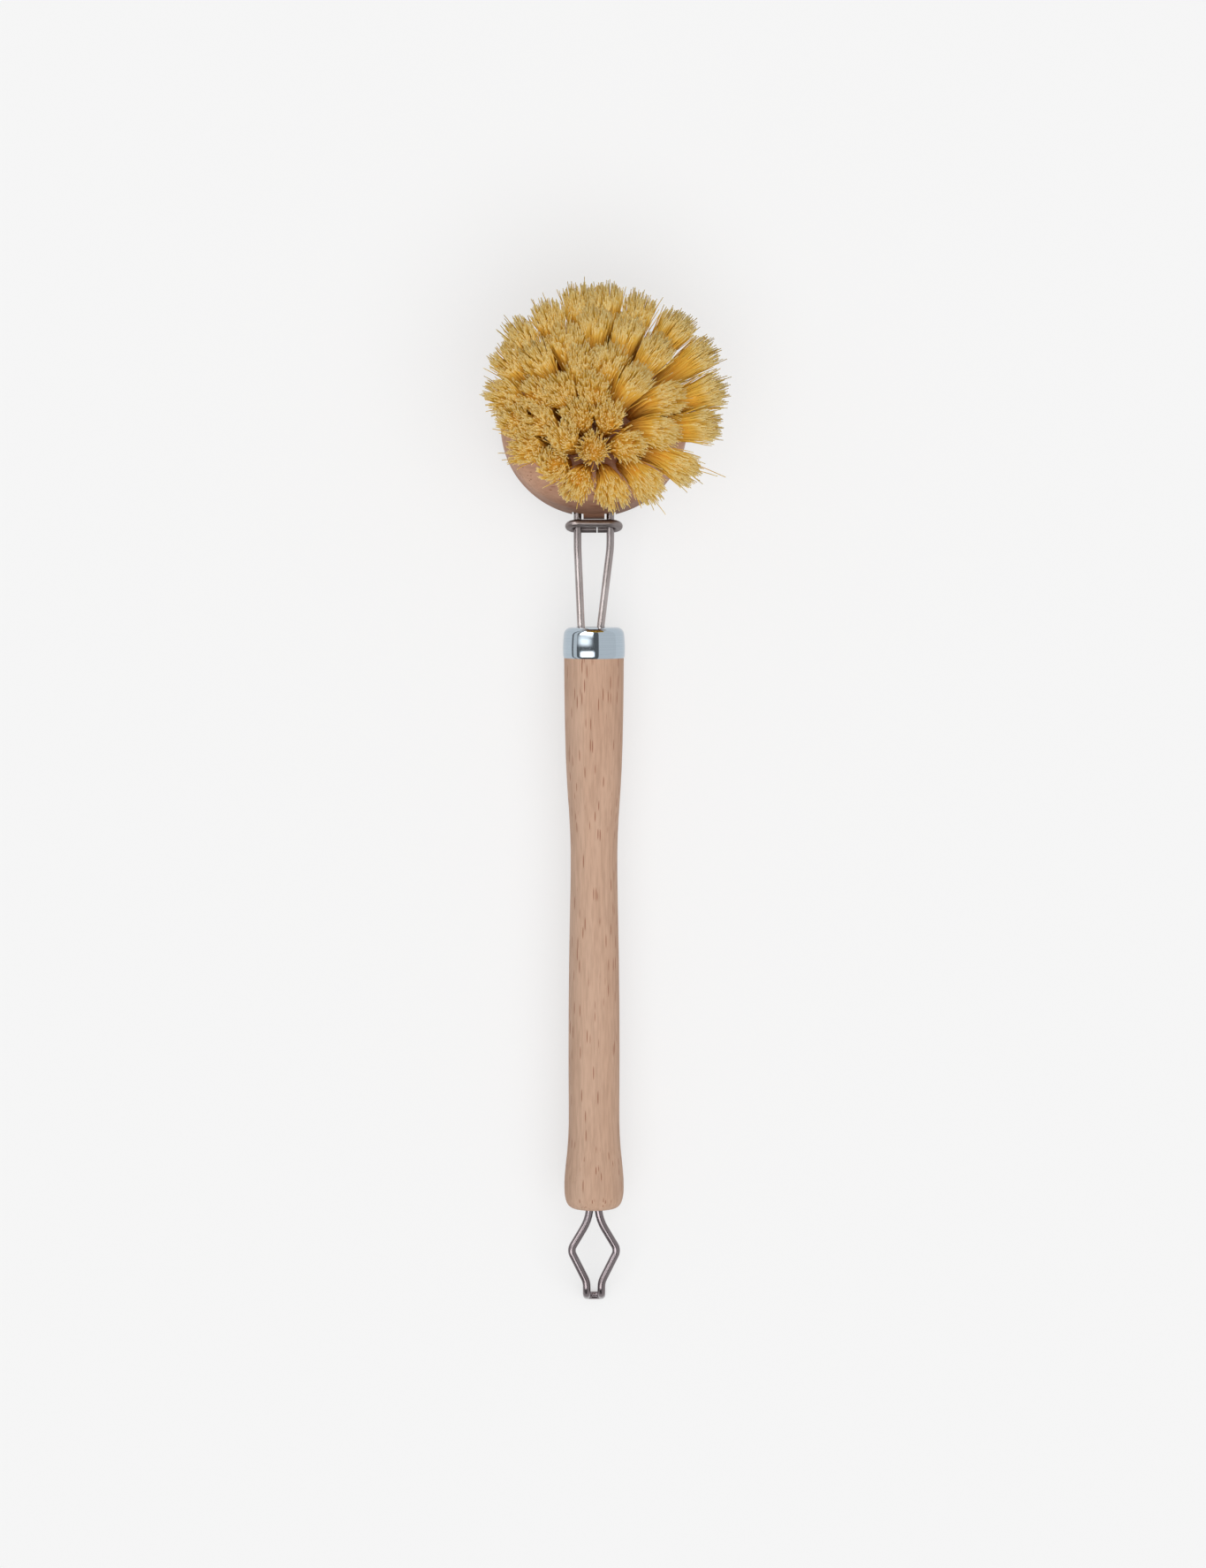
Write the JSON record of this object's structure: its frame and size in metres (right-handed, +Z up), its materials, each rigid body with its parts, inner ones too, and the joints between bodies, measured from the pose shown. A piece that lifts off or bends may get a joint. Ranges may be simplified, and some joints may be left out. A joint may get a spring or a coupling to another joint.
{
  "type": "dish brush",
  "caption": "Dish brush with a turned wooden handle, a bent wire frame with a hanging hook, a sliding locking ring and a swinging round head of plant-fibre tufts.",
  "frame": {"origin": "middle of the underside of the brush as it lies on its back", "axes": "+Y along the handle towards the head, +Z up, the way the bristles point, +X to the right"},
  "size_m": [0.061, 0.2634, 0.0498],
  "materials": {
    "handle_beech": "sanded, unvarnished",
    "head_beech": "sanded, unvarnished",
    "ferrule_chrome": "polished",
    "wire_steel": "drawn, satin",
    "ring_steel": "drawn, satin",
    "anchor_steel": "bare",
    "plant_fibre": "coarse matt fibre"
  },
  "bodies": {
    "handle_body": {"handle": "handle_beech", "ferrule": "ferrule_chrome", "wire_frame": "wire_steel"},
    "ring_body": {"locking_ring": "ring_steel"},
    "head_body": {"head_block": "head_beech", "tuft_anchors": "anchor_steel", "tuft_centre": "plant_fibre", "tuft_inner_01": "plant_fibre", "tuft_inner_02": "plant_fibre", "tuft_inner_03": "plant_fibre", "tuft_inner_04": "plant_fibre", "tuft_inner_05": "plant_fibre", "tuft_inner_06": "plant_fibre", "tuft_middle_01": "plant_fibre", "tuft_middle_02": "plant_fibre", "tuft_middle_03": "plant_fibre", "tuft_middle_04": "plant_fibre", "tuft_middle_05": "plant_fibre", "tuft_middle_06": "plant_fibre", "tuft_middle_07": "plant_fibre", "tuft_middle_08": "plant_fibre", "tuft_middle_09": "plant_fibre", "tuft_middle_10": "plant_fibre", "tuft_middle_11": "plant_fibre", "tuft_middle_12": "plant_fibre", "tuft_outer_01": "plant_fibre", "tuft_outer_02": "plant_fibre", "tuft_outer_03": "plant_fibre", "tuft_outer_04": "plant_fibre", "tuft_outer_05": "plant_fibre", "tuft_outer_06": "plant_fibre", "tuft_outer_07": "plant_fibre", "tuft_outer_08": "plant_fibre", "tuft_outer_09": "plant_fibre", "tuft_outer_10": "plant_fibre", "tuft_outer_11": "plant_fibre", "tuft_outer_12": "plant_fibre", "tuft_outer_13": "plant_fibre", "tuft_outer_14": "plant_fibre", "tuft_outer_15": "plant_fibre", "tuft_outer_16": "plant_fibre", "tuft_outer_17": "plant_fibre", "tuft_outer_18": "plant_fibre"}
  },
  "joints": [
    {"name": "ring_slide", "type": "slide", "parent": "handle_body", "child": "ring_body", "axis": [0, -1, 0], "range_m": [0, 0.0235]},
    {"name": "head_pivot", "type": "hinge", "parent": "handle_body", "child": "head_body", "pos_m": [-0.00395, 0.07756, 0.0143], "axis": [1, 0, 0], "range_deg": [-45, 20]}
  ]
}
